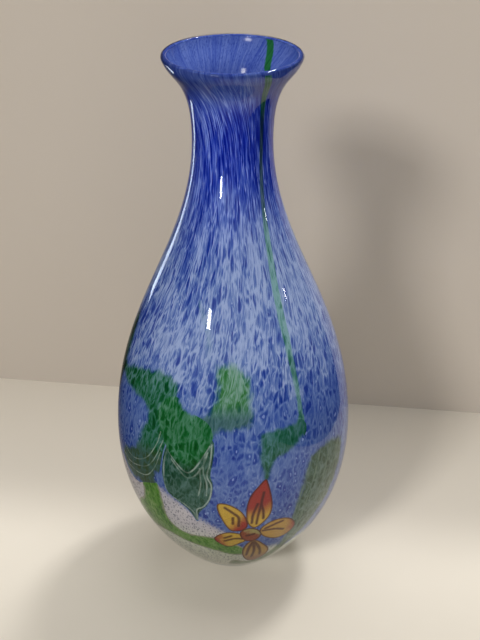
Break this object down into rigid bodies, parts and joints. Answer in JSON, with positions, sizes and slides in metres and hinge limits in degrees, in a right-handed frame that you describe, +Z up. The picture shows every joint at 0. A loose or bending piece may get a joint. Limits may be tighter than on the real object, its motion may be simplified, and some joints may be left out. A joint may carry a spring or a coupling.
{
  "type": "art glass vase",
  "caption": "Tall blown glass vase, bulbous body and narrow flared neck, with stems, leaves and a flower let into a speckled blue layer under clear casing.",
  "frame": {"origin": "centre of the ground foot, on the surface the vase stands on", "axes": "+Z up along the vase's own axis, foot to lip; -Y is the front, where the flower is; +X is to the right seen from the front"},
  "size_m": [0.14, 0.14, 0.32],
  "materials": {
    "clear_glass": "fire-polished clear glass, smooth and glossy",
    "blue_frit_glass": "cobalt and lilac frit melted smooth under the casing",
    "lilac_glass": "pale lilac-blue translucent glass, fire-polished",
    "white_frit_glass": "opal white frit with dark blue specks",
    "dark_green_glass": "dark green cane glass with pale streaks",
    "leaf_green_glass": "mid green glass with pale veins",
    "sea_green_glass": "blue-green glass",
    "bright_green_glass": "bright grass-green cane glass",
    "petal_glass": "red cane slices with yellow lobes and dark outlines",
    "ochre_glass": "ochre cane slice with dark veins",
    "heart_glass": "olive ring around a red-brown spot"
  },
  "bodies": {
    "root": {"clear_casing": "clear_glass", "blue_frit_layer": "blue_frit_glass", "inner_gather": "lilac_glass", "white_frit_skirt": "white_frit_glass", "front_stem": "dark_green_glass", "side_stem": "leaf_green_glass", "side_leaf": "dark_green_glass", "centre_stem": "sea_green_glass", "green_trail": "bright_green_glass", "base_leaf": "bright_green_glass", "left_leaf": "leaf_green_glass", "heart_leaf": "dark_green_glass", "pointed_leaf": "dark_green_glass", "centre_leaf": "leaf_green_glass", "right_upper_leaf": "sea_green_glass", "right_lower_leaf": "dark_green_glass", "back_left_leaf": "leaf_green_glass", "back_right_leaf": "dark_green_glass", "petal_top": "petal_glass", "petal_upper_left": "petal_glass", "petal_lower_left": "petal_glass", "petal_bottom": "ochre_glass", "petal_right": "petal_glass", "flower_heart": "heart_glass"}
  },
  "joints": []
}
